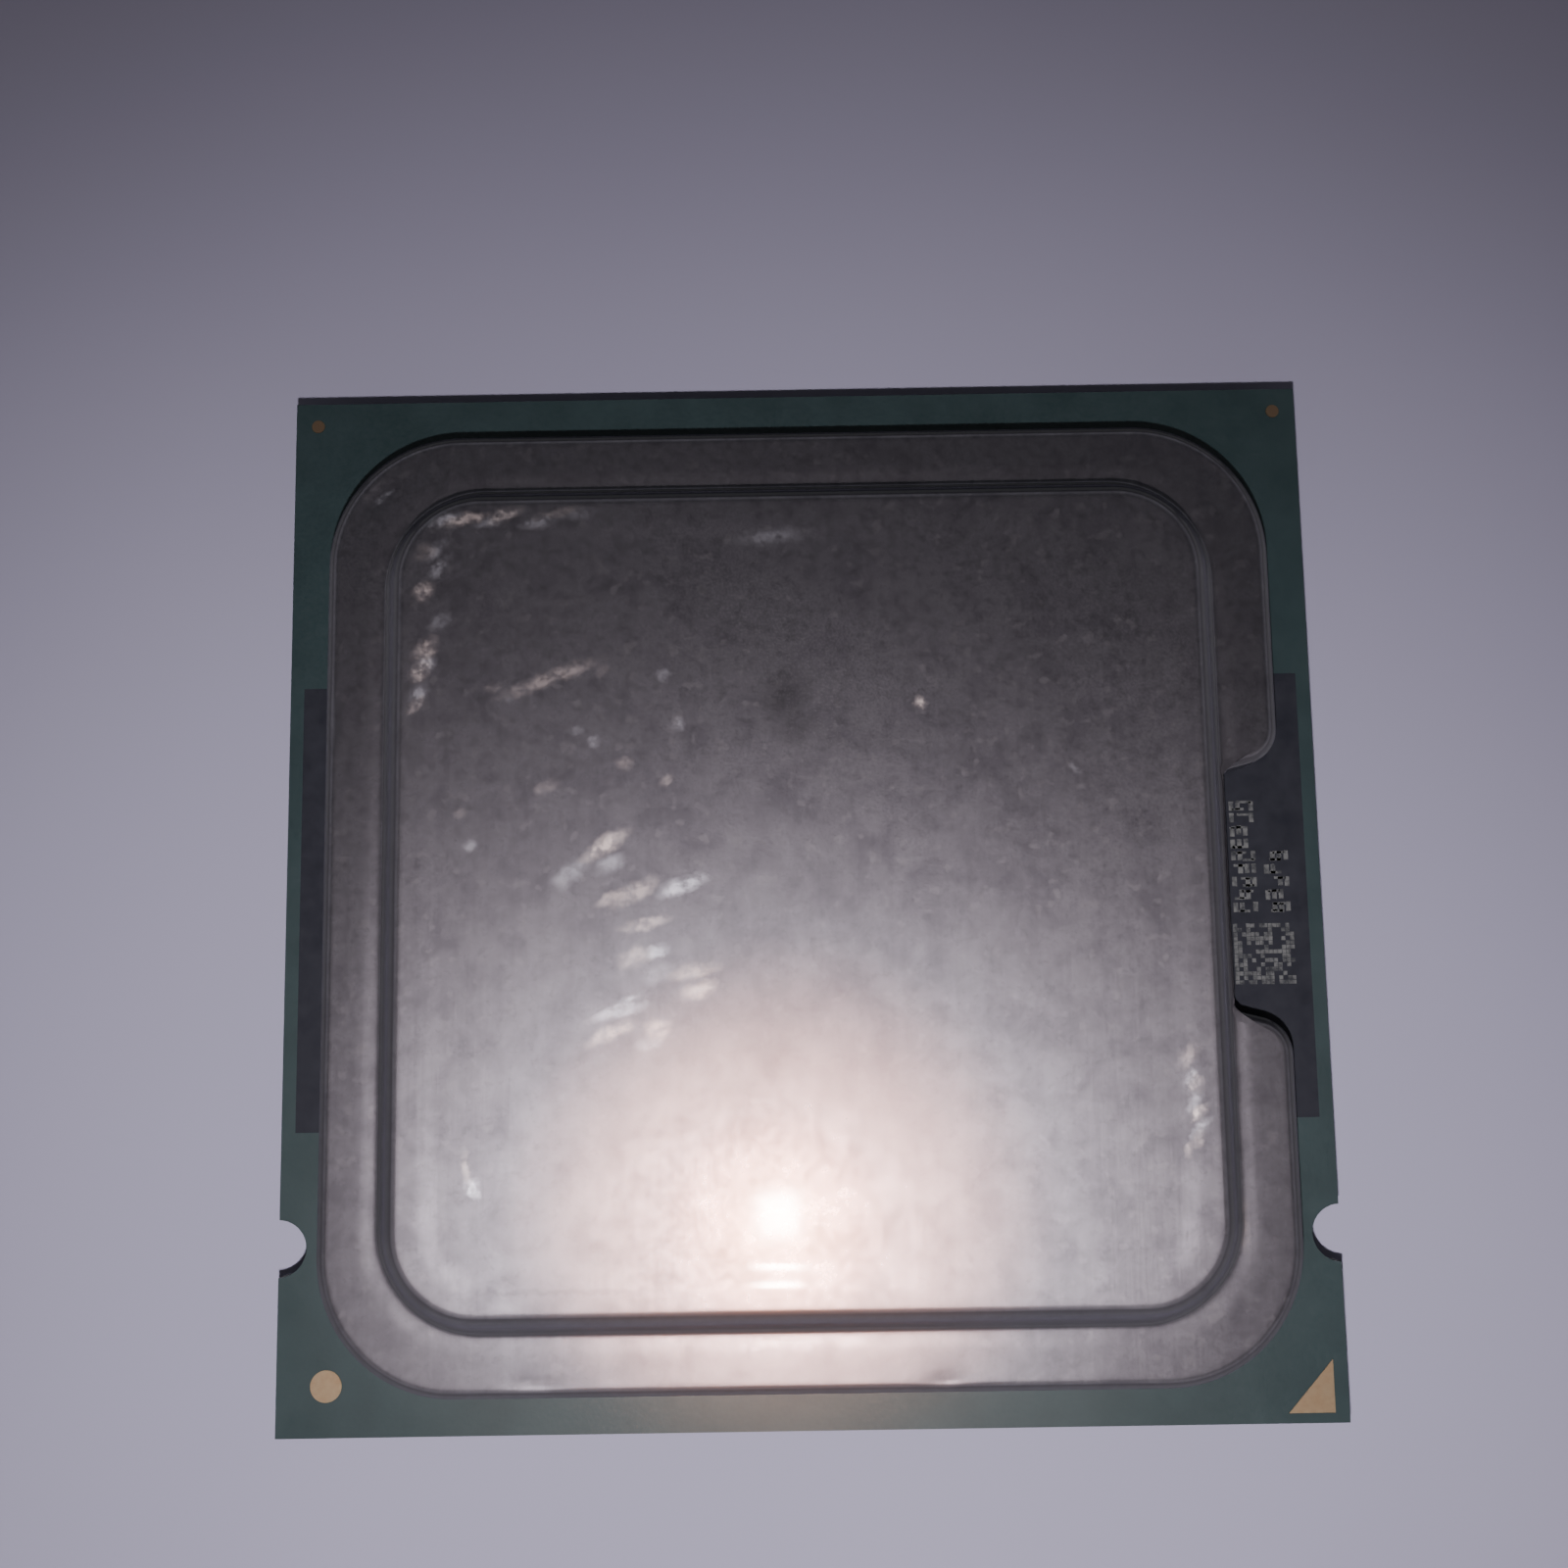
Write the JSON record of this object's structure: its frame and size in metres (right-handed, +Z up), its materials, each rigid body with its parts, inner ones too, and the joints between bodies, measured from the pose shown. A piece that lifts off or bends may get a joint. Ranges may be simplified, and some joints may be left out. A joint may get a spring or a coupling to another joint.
{
  "type": "cpu processor",
  "caption": "Square land-grid-array computer processor: stepped nickel-plated heat spreader on a green organic substrate, with contact lands and capacitors underneath.",
  "frame": {"origin": "centre of the square package, level with the lowest faces of the land-side capacitors, on which the processor lies", "axes": "+Z up out of the heat spreader; +X towards the edge with the label cut-out; -Y towards the edge nearest the keying notches and the gold corner marker"},
  "size_m": [0.0376, 0.0376, 0.0048],
  "materials": {
    "core_epoxy": "sawn glass-epoxy edge, matt",
    "copper": "bare copper, dull",
    "buildup_dielectric": "cured resin film, matt",
    "solder_mask": "dark teal-green solder mask, satin",
    "gold_plating": "pale gold plating, satin",
    "label_ink": "near-black ink band, matt",
    "nickel_plate": "satin nickel plating over copper, wiped and lightly marked",
    "solder": "solder, satin",
    "silicon": "lapped silicon, dark grey",
    "underfill_epoxy": "cured epoxy, brown",
    "sealant": "cured silicone adhesive, dark grey",
    "capacitor_ceramic": "fired ceramic, matt brown",
    "terminal_tin": "tin plating, satin"
  },
  "bodies": {
    "root": {"core_laminate": "core_epoxy", "core_vias": "copper", "upper_copper_plane": "copper", "lower_copper_plane": "copper", "upper_buildup": "buildup_dielectric", "lower_buildup": "buildup_dielectric", "upper_solder_mask": "solder_mask", "lower_solder_mask": "solder_mask", "contact_lands": "gold_plating", "pin_one_marker": "gold_plating", "fiducial_marks": "gold_plating", "label_band_left": "label_ink", "label_band_right": "label_ink", "heat_spreader": "nickel_plate", "spreader_gold_patch": "gold_plating", "thermal_solder": "solder", "die_back_metal": "gold_plating", "silicon_die": "silicon", "die_bumps": "solder", "die_underfill": "underfill_epoxy", "lid_sealant": "sealant", "array_capacitor_bodies": "capacitor_ceramic", "array_capacitor_terminals": "terminal_tin", "chip_capacitor_bodies": "capacitor_ceramic", "chip_capacitor_terminals": "terminal_tin", "capacitor_solder": "solder", "capacitor_pads": "gold_plating"}
  },
  "joints": []
}
